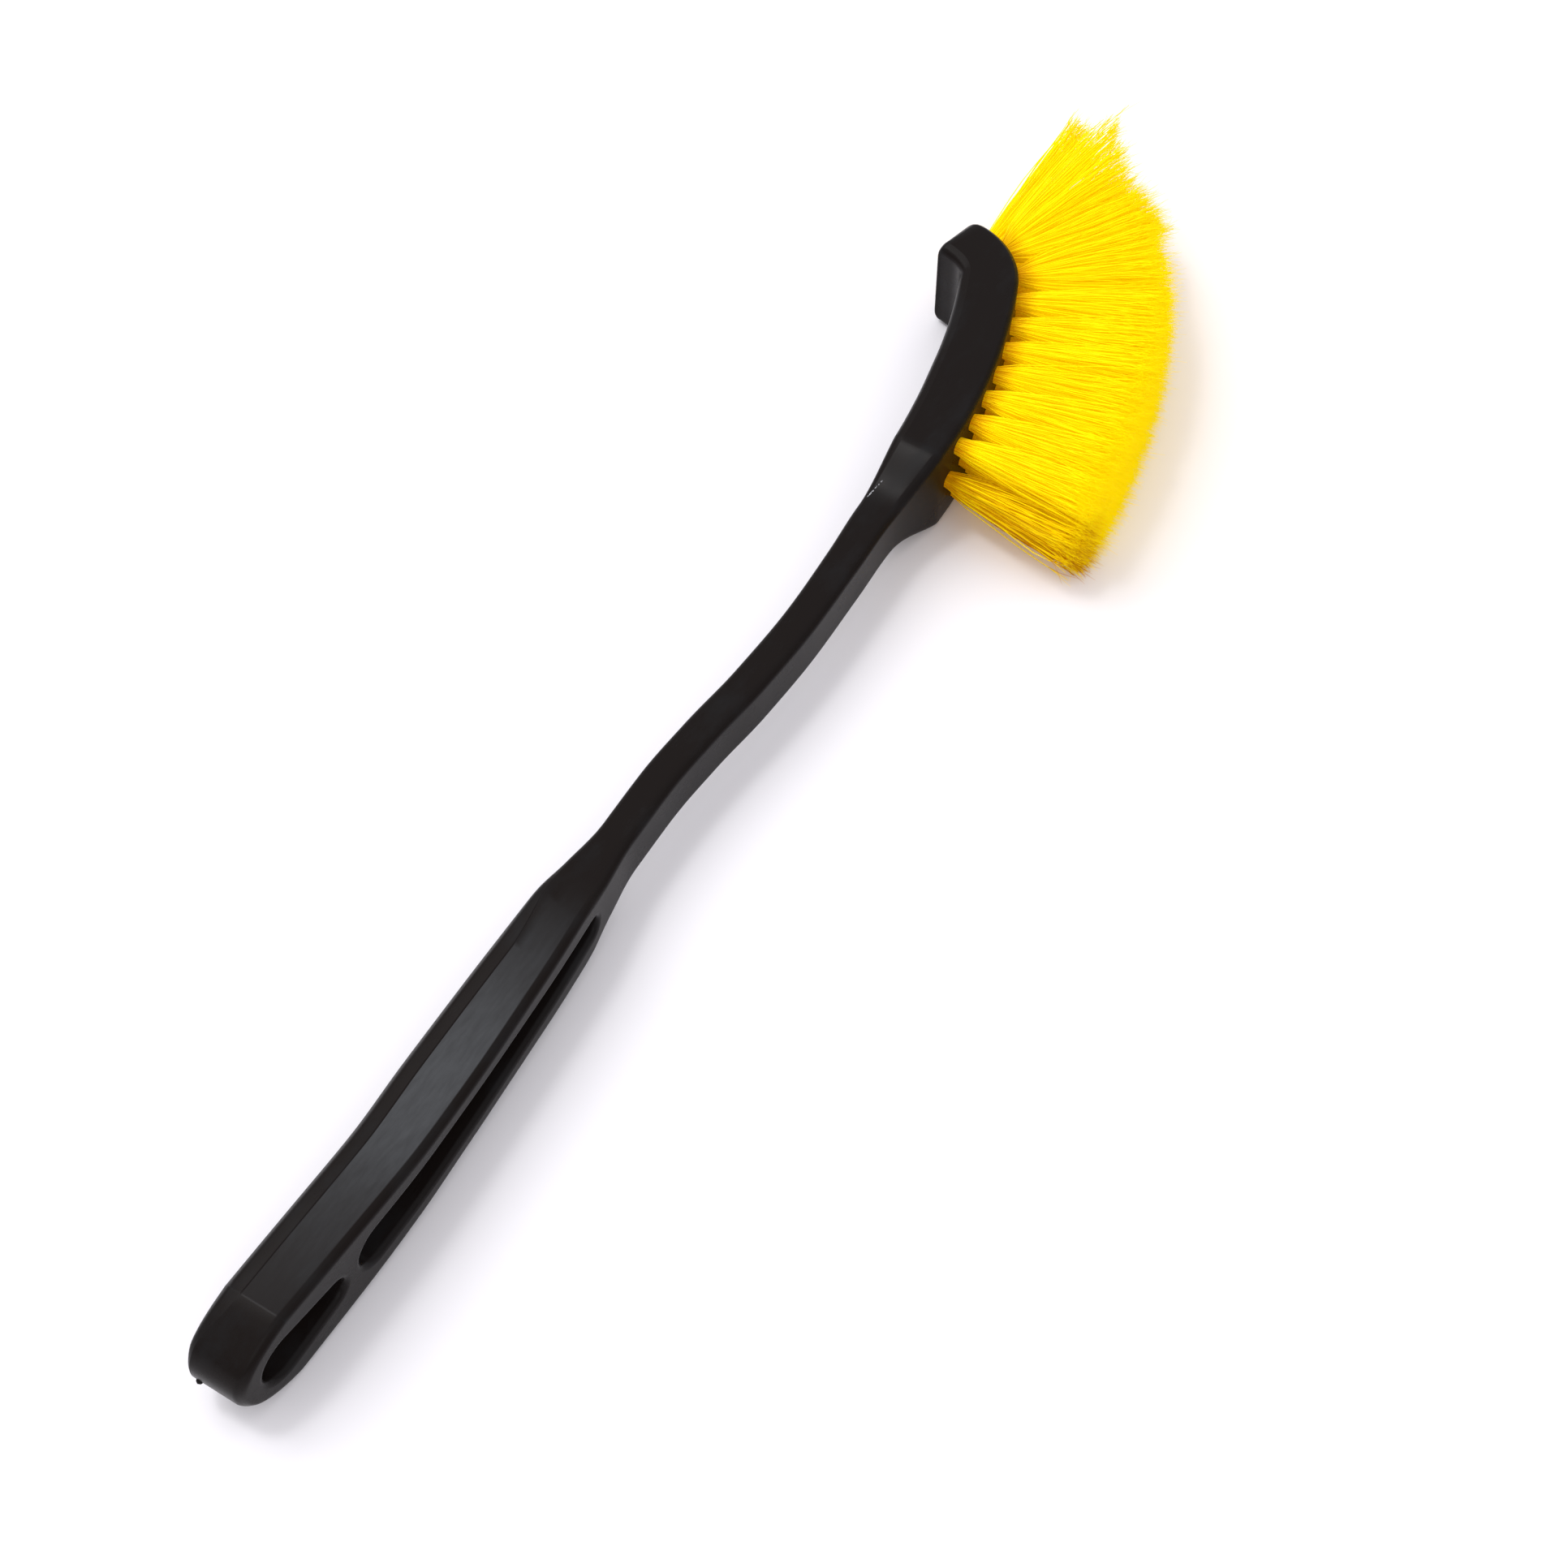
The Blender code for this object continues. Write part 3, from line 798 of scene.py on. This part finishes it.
    def folds(self, legs: Array) -> Array:
        """Whole folded filaments, from tip to tip round the anchor.

        Args:
            legs: Free paths, the first half of them on one side of the anchor.

        Returns:
            Paths by points by 3: down one leg, beside the anchor, round under it and up again.
        """
        one, other = legs[:self.folded], legs[self.folded:]
        steps = []
        for leg, sign in ((one, 1.0), (other, -1.0)):
            start = leg[:, :1]
            beside = start.copy()
            beside[..., 1] = sign * np.clip(np.abs(start[..., 1]) * 0.7, *self.anchor_sides)
            beside[..., 2] = -self.anchor_depth
            steps.append((leg, beside))
        (one, beside_one), (other, beside_other) = steps
        bottom = (beside_one + beside_other) / 2
        bottom[..., 2] = -self.fold_depth + 0.4 * np.abs(beside_one[..., 1] / 2)
        return np.concatenate((one[:, ::-1], beside_one, bottom, beside_other, other), 1)

    def flags(self, legs: Array, rng: np.random.Generator) -> Array:
        """Split ends of the filaments.

        Args:
            legs: Free paths.
            rng: Random numbers of this tuft.

        Returns:
            Two short paths for each leg, which leave its last part and spread sideways.
        """
        tip = legs[:, -1]
        heading = unit(tip - legs[:, -2])
        paths = []
        for _ in range(2):
            length = rng.uniform(*self.flag_lengths, (len(tip), 1, 1))
            t = np.linspace(0, 1, 4)[None, :, None]
            away = rng.normal(0, self.flag_spread, (len(tip), 1, 3))
            start = tip - heading * length[:, 0] * 0.8
            paths.append(start[:, None] + heading[:, None] * length * t + away * t ** 1.6)
        return np.concatenate(paths)

    def tubes(self, skin: "Bundle", paths: Array, radius: Array, along: Array,
              rng: np.random.Generator) -> None:
        """Add thin three-sided tubes round the paths, which lie on the floor and not in it.

        Args:
            skin: Bundle to add them to.
            paths: Paths by points by 3, in the tuft's own axes.
            radius: Radius at each point of a path.
            along: Share of the way from root to tip at each point of a path.
            rng: Random numbers of this tuft.
        """
        root, row_axis, across_axis, out_axis = self.axes()
        world = root + paths @ np.stack([row_axis, across_axis, out_axis])
        low = self.floor_gap + 1.6 * rng.uniform(0, 1, (len(paths), 1)) ** 2
        world[..., 2] = np.maximum(world[..., 2], low * along + 0.05)
        tangent = unit(np.gradient(world, axis=1))
        first = unit(row_axis - tangent * (tangent @ row_axis)[..., None])
        second = np.cross(tangent, first)
        angle = (rng.uniform(0, 2 * math.pi, (len(paths), 1, 1))
                 + np.arange(3) * 2 * math.pi / 3)[..., None]
        ring = first[:, :, None] * np.cos(angle) + second[:, :, None] * np.sin(angle)
        points = world[:, :, None] + ring * radius[None, :, None, None]
        tint = np.broadcast_to(rng.uniform(0, 1, (len(paths), 1, 1)), points.shape[:3])
        share = np.broadcast_to(along[None, :, None], points.shape[:3])
        skin.add_tubes(self.form.to_frame(points), tint, share)

    def build(self) -> bpy.types.Object:
        """The tuft as one object of many closed filaments."""
        rng = np.random.default_rng(1000 + 100 * self.row.side + self.number)
        legs = self.legs(rng)
        bundle = Bundle()
        whole = self.folds(legs)
        free = np.linspace(0, 1, self.segments + 1)
        along = np.concatenate((free[::-1], [0, 0, 0], free))
        taper = self.filament_radius * (1 - 0.45 * step(along, 0.8, 1.0))
        self.tubes(bundle, whole, taper, along, rng)
        flags = self.flags(legs, rng)
        self.tubes(bundle, flags, self.flag_radius * np.array([1.0, 0.9, 0.7, 0.3]),
                   np.array([0.85, 0.9, 0.95, 1.0]), rng)
        return bundle.build(f"bristles_{self.name}")


class Bundle(Skin):
    """Many small closed tubes with a tint and a share of the way along, for one mesh."""

    def __init__(self) -> None:
        """Start with no tubes."""
        super().__init__()
        self.tints: list[Array] = []
        self.shares: list[Array] = []

    def add_tubes(self, points: Array, tint: Array, share: Array) -> None:
        """Add closed tubes of one size.

        Args:
            points: Tubes by rings by corners by 3, in metres.
            tint: Tint of each corner.
            share: Share of the way along at each corner.
        """
        tubes, rings, corners = points.shape[:3]
        index = np.arange(tubes * rings * corners).reshape(tubes, rings, corners)
        turned = np.roll(index, -1, axis=2)
        self.faces += [index[:, 0, ::-1] + self.count, index[:, -1] + self.count]
        self.add(points, stack(index[:, :-1], turned[:, :-1], turned[:, 1:], index[:, 1:]))
        self.tints.append(tint.ravel())
        self.shares.append(share.ravel())

    def build(self, name: str) -> bpy.types.Object:
        """One smooth-shaded object of all the tubes, with attributes tint and share."""
        mesh = self.mesh(name)
        for label, values in (("tint", self.tints), ("share", self.shares)):
            write_attribute(mesh, label, np.concatenate(values))
        mesh.shade_smooth()
        return add_object(name, mesh)


def all_tufts(form: HandleForm) -> list[Tuft]:
    """Every tuft, row by row from the heel to the tip."""
    return [Tuft(form, row, k + 1) for row in Row for k in range(row.count)]


def bore_cutter(handle: Handle, tufts: list[Tuft]) -> bpy.types.Object:
    """One cutter with a straight rod for each bore.

    Args:
        handle: Handle whose bores they are.
        tufts: Tufts that sit in them.

    Returns:
        The cutter.
    """
    turn = np.linspace(0, 2 * math.pi, 25)[:-1]
    disc = handle.bore_radius * stack(np.cos(turn), np.sin(turn))
    skin = Skin()
    for tuft in tufts:
        root, along, across, out = tuft.axes()
        circle = root + disc[:, :1] * along + disc[:, 1:] * across
        rings = np.stack([circle - handle.bore_depth * out, circle + 4.0 * out])
        skin.rings(tuft.form.to_frame(rings))
    return skin.build("bores")


Value = Union["Signal", bpy.types.NodeSocket, float, tuple]


class Signal:
    """A node's output that can be added, multiplied and compared in an expression."""

    def __init__(self, paint: "Paint", socket: bpy.types.NodeSocket) -> None:
        """Wrap a socket of the paint's nodes."""
        self.paint = paint
        self.socket = socket

    def _join(self, operation: str, left: Value, right: Value) -> "Signal":
        """Math node of an operation on two values."""
        return self.paint.signal("ShaderNodeMath", {"operation": operation}, {0: left, 1: right})

    def __add__(self, other: Value) -> "Signal":
        """Sum."""
        return self._join("ADD", self, other)

    __radd__ = __add__

    def __sub__(self, other: Value) -> "Signal":
        """Difference."""
        return self._join("SUBTRACT", self, other)

    def __rsub__(self, other: Value) -> "Signal":
        """Difference from a value."""
        return self._join("SUBTRACT", other, self)

    def __mul__(self, other: Value) -> "Signal":
        """Product."""
        return self._join("MULTIPLY", self, other)

    __rmul__ = __mul__

    def ramp(self, low: float, high: float) -> "Signal":
        """Smooth step from 0 at low to 1 at high."""
        return self.paint.signal(
            "ShaderNodeMapRange", {"interpolation_type": "SMOOTHSTEP"},
            {"Value": self, "From Min": low, "From Max": high})


class Paint:
    """Builds the nodes of one material."""

    def __init__(self, name: str) -> None:
        """Start a material with a lone Principled shader."""
        self.material = bpy.data.materials.new(name)
        self.material.use_nodes = True
        self.shader = self.material.node_tree.nodes["Principled BSDF"]

    def node(self, kind: str, settings: dict, sockets: dict) -> bpy.types.Node:
        """Add a node.

        Args:
            kind: Type of the node.
            settings: Its own settings.
            sockets: Values or links of its inputs, by name or number.

        Returns:
            The node.
        """
        made = self.material.node_tree.nodes.new(kind)
        for name, value in settings.items():
            setattr(made, name, value)
        self.feed(made, sockets)
        return made

    def feed(self, node: bpy.types.Node, sockets: dict) -> None:
        """Set or link inputs of a node."""
        for name, value in sockets.items():
            if isinstance(value, Signal):
                value = value.socket
            if isinstance(value, bpy.types.NodeSocket):
                self.material.node_tree.links.new(value, node.inputs[name])
            else:
                node.inputs[name].default_value = value

    def signal(self, kind: str, settings: dict, sockets: dict, output: Union[int, str] = 0
               ) -> Signal:
        """Add a node and wrap one of its outputs."""
        return Signal(self, self.node(kind, settings, sockets).outputs[output])

    def attribute(self, name: str) -> Signal:
        """A number that the mesh holds."""
        return self.signal("ShaderNodeAttribute", {"attribute_name": name}, {}, "Fac")

    def coordinate(self, axis: str) -> Signal:
        """One of the piece's own coordinates, in metres."""
        where = self.signal("ShaderNodeTexCoord", {}, {}, "Object")
        return self.signal("ShaderNodeSeparateXYZ", {}, {0: where}, axis)

    def noise(self, scale: float, stretch: Place = (1.0, 1.0, 1.0),
              detail: float = 3.0, roughness: float = 0.55) -> Signal:
        """Noise on the piece's own coordinates.

        Args:
            scale: Features to a metre.
            stretch: Factors on x, y and z.
            detail: Octaves.
            roughness: Share of each further octave.

        Returns:
            The noise, round 0.5.
        """
        where = self.signal("ShaderNodeTexCoord", {}, {}, "Object")
        mapped = self.signal("ShaderNodeMapping", {}, {"Vector": where, "Scale": stretch})
        return self.signal("ShaderNodeTexNoise", {}, {
            "Vector": mapped, "Scale": scale, "Detail": detail, "Roughness": roughness})

    def mix(self, share: Value, low: Value, high: Value) -> Signal:
        """Mix of two colours."""
        return self.signal("ShaderNodeMix", {"data_type": "RGBA"}, {0: share, 6: low, 7: high}, 2)

    def bump(self, height: Signal, distance: float, strength: float) -> Signal:
        """Normal of a surface with this height."""
        return self.signal("ShaderNodeBump", {}, {
            "Height": height, "Distance": distance, "Strength": strength})


@dataclass(frozen=True)
class BlackPlastic:
    """Moulded black polypropylene: glossy, with a grained flat on each side of the grip, whose grey
    carries a painted sheen.
    """

    colour: Colour = (0.0078, 0.0056, 0.0050, 1.0)
    worn: Colour = (0.012, 0.012, 0.013, 1.0)
    # Grey of the grained flats: partly their matte finish, partly a painted highlight.
    grain_sheen_grey: Colour = (0.057, 0.059, 0.063, 1.0)
    scratched: Colour = (0.50, 0.50, 0.53, 1.0)
    scratch_place: Pair = (0.0, 0.0)
    gloss: float = 0.27
    grain_and_sheen_roughness: float = 0.52

    def scratch(self, paint: Paint) -> Signal:
        """Share of a short white scratch on the head's ramp, 1 on its line."""
        across = paint.coordinate("Y") - self.scratch_place[1]
        along = paint.coordinate("X") - self.scratch_place[0] + 0.4 * across
        across = across + 0.25 * along
        thin = (across * across * SQUARE_MM).ramp(0.012, 0.05)
        short = (along * along * SQUARE_MM).ramp(3.0, 7.5)
        broken = paint.noise(1500.0).ramp(0.42, 0.55)
        upper = paint.coordinate("Z").ramp(0.016, 0.018)
        return (1 - thin) * (1 - short) * broken * upper

    def material(self) -> bpy.types.Material:
        """The plastic, which reads the attributes grain_and_sheen and edge; the grained flats' grey
        is partly a painted sheen.
        """
        paint = Paint("satin_black_plastic")
        grain_and_sheen, edge = paint.attribute("grain_and_sheen"), paint.attribute("edge")
        scuff = paint.noise(90.0, (0.5, 1.0, 1.0), 5.0, 0.65).ramp(0.46, 0.72)
        brushed = paint.noise(700.0, (0.22, 1.0, 1.0), 4.0, 0.6)
        fine = paint.noise(900.0, (1.0, 0.35, 1.0), 3.0)
        cloud = paint.noise(28.0, (1.0, 1.0, 1.0), 2.0)
        worn = paint.mix(0.5 * scuff + 0.8 * edge * cloud, self.colour, self.worn)
        # Share of the grained grey: the flats' grain with a painted sheen along the grip, varied by
        # noise.
        grain_sheen_share = grain_and_sheen * (0.5 + 0.7 * brushed + 0.5 * (cloud - 0.5))
        colour = paint.mix(grain_sheen_share, worn, self.grain_sheen_grey)
        colour = paint.mix(self.scratch(paint), colour, self.scratched)
        rough = self.gloss + grain_and_sheen * (self.grain_and_sheen_roughness - self.gloss) + 0.06 * scuff + 0.08 * (
            cloud - 0.5)
        height = fine * (0.04 + grain_and_sheen)
        paint.feed(paint.shader, {
            "Base Color": colour, "Roughness": rough, "IOR": 1.16,
            "Normal": paint.bump(height, 0.00010, 0.30)})
        return paint.material


@dataclass(frozen=True)
class YellowBristle:
    """Soft yellow filament: lighter at its flagged tips, deeper near its root, with painted shade
    low on the heel side and a faint painted glow.
    """

    body: Colour = (1.0, 0.74, 0.0, 1.0)
    deep: Colour = (0.66, 0.27, 0.0, 1.0)
    pale: Colour = (1.0, 0.86, 0.0, 1.0)
    shaded: Colour = (0.50, 0.20, 0.0, 1.0)
    heel_x: float = 0.0

    def material(self) -> bpy.types.Material:
        """The filament, which reads the attributes tint and share."""
        paint = Paint("yellow_filament")
        tint, share = paint.attribute("tint"), paint.attribute("share")
        root = paint.mix(share.ramp(0.0, 0.18), self.deep, self.body)
        colour = paint.mix(tint * (0.35 + 0.4 * share), root, self.pale)
        # Painted shade: strands low on the heel side turn deep orange-brown, where the rows shade
        # each other.
        low = 1 - paint.coordinate("Z").ramp(0.012, 0.029)
        heel = 1 - (paint.coordinate("X") - self.heel_x).ramp(0.006, 0.020)
        strand = tint.ramp(0.15, 0.6)
        colour = paint.mix(low * heel * strand, colour, self.shaded)
        # The filament glows faintly in its own colour: painted light that lifts the shade in the
        # bristle mass.
        paint.feed(paint.shader, {
            "Base Color": colour, "Roughness": 0.5 + 0.12 * tint, "IOR": 1.15,
            "Emission Color": colour, "Emission Strength": 0.2})
        return paint.material


@dataclass(frozen=True)
class CloudyFinish:
    """A finish of two colours, mixed by a noise that changes its roughness too."""

    name: str
    colours: tuple[Colour, Colour]
    scale: float
    stretch: Place
    roughness: Pair
    metallic: float = 0.0
    detail: float = 3.0

    def material(self) -> bpy.types.Material:
        """The finish, with marks where the noise is high."""
        paint = Paint(self.name)
        marks = paint.noise(self.scale, self.stretch, self.detail)
        smooth, added = self.roughness
        paint.feed(paint.shader, {
            "Base Color": paint.mix(marks, *self.colours), "Metallic": self.metallic,
            "Roughness": smooth + added * marks})
        return paint.material


ROLLED_STEEL = CloudyFinish(
    "rolled_steel", ((0.52, 0.51, 0.50, 1.0), (0.66, 0.65, 0.63, 1.0)), 2500.0,
    (1.0, 1.0, 0.1), (0.25, 0.3), metallic=1.0, detail=2.0)
PALE_SHEET = CloudyFinish(
    "pale_sheet", ((0.90, 0.885, 0.925, 1.0), (0.92, 0.905, 0.935, 1.0)), 6.0,
    (1.0, 1.0, 1.0), (0.85, 0.1))


@dataclass(frozen=True)
class Lamp:
    """A soft square lamp."""

    name: str
    place: Place
    size: float
    power: float


@dataclass
class Studio:
    """Floor, soft light and the camera."""

    target: Place
    azimuth: float = math.radians(-58.0)
    elevation: float = math.radians(57.0)
    distance: float = 0.7777
    view_angle: float = math.radians(29.1)
    floor_size: float = 6.0
    lamps: tuple[Lamp, ...] = (
        Lamp("key_light", (0.0, 1.2, 1.5), 1.2, 11.0),
        Lamp("top_light", (-0.25, 0.6, 1.9), 0.3, 6.5),
        Lamp("fill_light", (-1.3, -0.9, 1.2), 1.2, 3.0),
    )
    sky: Colour = (0.98, 0.97, 0.99, 1.0)
    sky_strength: float = 1.02
    horizon_strength: float = 0.42
    sky_band: Pair = (0.08, 0.55)

    def build(self) -> None:
        """Add the floor, the lamps, the sky and the camera to the scene."""
        self.floor()
        for lamp in self.lamps:
            self.lamp(lamp)
        self.world()
        self.camera()

    def floor(self) -> None:
        """The floor: a square under the brush."""
        half = self.floor_size / 2
        corners = np.array([[-half, -half, 0], [half, -half, 0], [half, half, 0],
                            [-half, half, 0]])
        mesh = bpy.data.meshes.new("floor")
        mesh.from_pydata(corners.tolist(), [], [(0, 1, 2, 3)])
        mesh.materials.append(PALE_SHEET.material())
        add_object("floor", mesh)

    def lamp(self, lamp: Lamp) -> None:
        """Add a square area lamp that faces the brush."""
        data = bpy.data.lights.new(lamp.name, "AREA")
        data.shape = "SQUARE"
        data.size = lamp.size
        data.energy = lamp.power
        item = add_object(lamp.name, data)
        item.location = lamp.place
        aim = np.array(self.target) - np.array(lamp.place)
        item.rotation_euler = (math.acos(-aim[2] / np.linalg.norm(aim)), 0.0,
                               math.atan2(-aim[0], aim[1]))

    def world(self) -> None:
        """A soft sky that is bright overhead and dim near the horizon."""
        world = bpy.data.worlds.new("soft_sky")
        world.use_nodes = True
        tree = world.node_tree
        sky = tree.nodes["Background"]
        sky.inputs["Color"].default_value = self.sky
        where = tree.nodes.new("ShaderNodeTexCoord")
        parts = tree.nodes.new("ShaderNodeSeparateXYZ")
        strength = tree.nodes.new("ShaderNodeMapRange")
        names = ("From Min", "From Max", "To Min", "To Max")
        for name, value in zip(names, (*self.sky_band, self.horizon_strength, self.sky_strength)):
            strength.inputs[name].default_value = value
        tree.links.new(where.outputs["Generated"], parts.inputs[0])
        tree.links.new(parts.outputs["Z"], strength.inputs["Value"])
        tree.links.new(strength.outputs[0], sky.inputs["Strength"])
        bpy.context.scene.world = world

    def camera(self) -> None:
        """The camera, turned to the target from its azimuth and elevation."""
        scene = bpy.context.scene
        data = bpy.data.cameras.new("camera")
        data.angle = self.view_angle
        item = add_object("camera", data)
        level = math.cos(self.elevation)
        back = np.array([math.sin(self.azimuth) * level, -math.cos(self.azimuth) * level,
                         math.sin(self.elevation)])
        item.location = np.array(self.target) + self.distance * back
        item.rotation_euler = (math.pi / 2 - self.elevation, 0.0, self.azimuth)
        scene.camera = item
        scene.view_settings.view_transform = "Standard"


def mark_surfaces(handle: Handle, item: bpy.types.Object) -> None:
    """Write the attributes grain_and_sheen and edge of the handle's points.

    Args:
        handle: Sizes of the handle.
        item: The finished moulding.

    Grain and sheen is the grain of the grip's flats, scaled along the grip by a painted sheen that
    peaks in its middle.  Edge grows where neighbouring faces turn sharply.
    """
    form = handle.form
    mesh = item.data
    points = np.empty(len(mesh.vertices) * 3)
    mesh.vertices.foreach_get("co", points)
    zero = form.to_frame(np.zeros(3))
    x, y, z = ((points.reshape(-1, 3) - zero) / MM).T
    s = np.clip(x, 0, form.heel)
    w = np.abs(z - form.middle_height)
    front = form.front(s)[:, 1]
    u = y - front
    thick = form.thickness(s)
    on_flat = (w > form.half_width(np.maximum(s, form.end_length)) - 0.02)
    on_flat &= (u > handle.edge_bevel + 0.3) & (u < thick - handle.grip_bevel[0] - 0.15)
    end = form.grip_length
    # Painted sheen: the flats are lightest mid-grip, where a lamp's broad highlight falls, and fade
    # towards both ends.
    painted_sheen_curve = Curve(((0, 0.05), (22, 0.15), (45, 0.5), (70, 1.0), (95, 1.0), (118, 0.5),
                   (end - 1, 0.0), (end, 0.0)))
    grain_and_sheen = on_flat * (s > form.end_length - 0.05) * np.where(s < end, painted_sheen_curve(s), 0.0)
    write_attribute(mesh, "grain_and_sheen", grain_and_sheen)
    normals = np.empty(len(mesh.polygons) * 3)
    mesh.polygons.foreach_get("normal", normals)
    normals = normals.reshape(-1, 3)
    corners = np.empty(len(mesh.loops), int)
    mesh.loops.foreach_get("vertex_index", corners)
    owner = np.repeat(np.arange(len(mesh.polygons)),
                      [len(face.vertices) for face in mesh.polygons])
    total = np.zeros((len(mesh.vertices), 3))
    np.add.at(total, corners, normals[owner])
    count = np.bincount(corners, minlength=len(mesh.vertices))
    bend = 1 - np.linalg.norm(total, axis=1) / np.maximum(count, 1)
    sharp_bend = 1 / 40
    write_attribute(mesh, "edge", np.clip(bend / sharp_bend, 0, 1))


def settle(item: bpy.types.Object, material: bpy.types.Material, node: str) -> None:
    """Give a piece its finish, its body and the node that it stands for.

    Args:
        item: The piece.
        material: Its finish.
        node: CAD node that it replaces.
    """
    item.data.materials.clear()
    item.data.materials.append(material)
    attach(item, BODY)
    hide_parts(node)
    LOG.info("%s stands for %s: %d faces", item.name, node, len(item.data.polygons))


def main() -> None:
    """Build and dress the handle, the tufts and the anchors, and set up the studio."""
    logging.basicConfig(level=logging.INFO, format="%(name)s: %(message)s")
    handle = Handle()
    tufts = all_tufts(handle.form)
    moulding = handle.build(bore_cutter(handle, tufts))
    mark_surfaces(handle, moulding)
    scratch_x, scratch_y, _ = handle.form.to_frame(np.array([*SCRATCH_PLACE, 0.0]))
    plastic = BlackPlastic(scratch_place=(scratch_x, scratch_y))
    settle(moulding, plastic.material(), "handle")
    heel_x = handle.form.to_frame(np.array([handle.form.heel, 0.0, 0.0]))[0]
    bristle, steel = YellowBristle(heel_x=heel_x).material(), ROLLED_STEEL.material()
    for tuft in tufts:
        settle(tuft.build(), bristle, f"tuft_{tuft.name}")
        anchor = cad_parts[f"anchor_{tuft.name}"]
        anchor.data.materials.clear()
        anchor.data.materials.append(steel)
        LOG.info("anchor_%s keeps its own shape", tuft.name)
    target = handle.form.to_frame(np.array([*VIEW_CENTRE, 0.0]))
    Studio(tuple(target)).build()


if __name__ == "__main__":
    main()
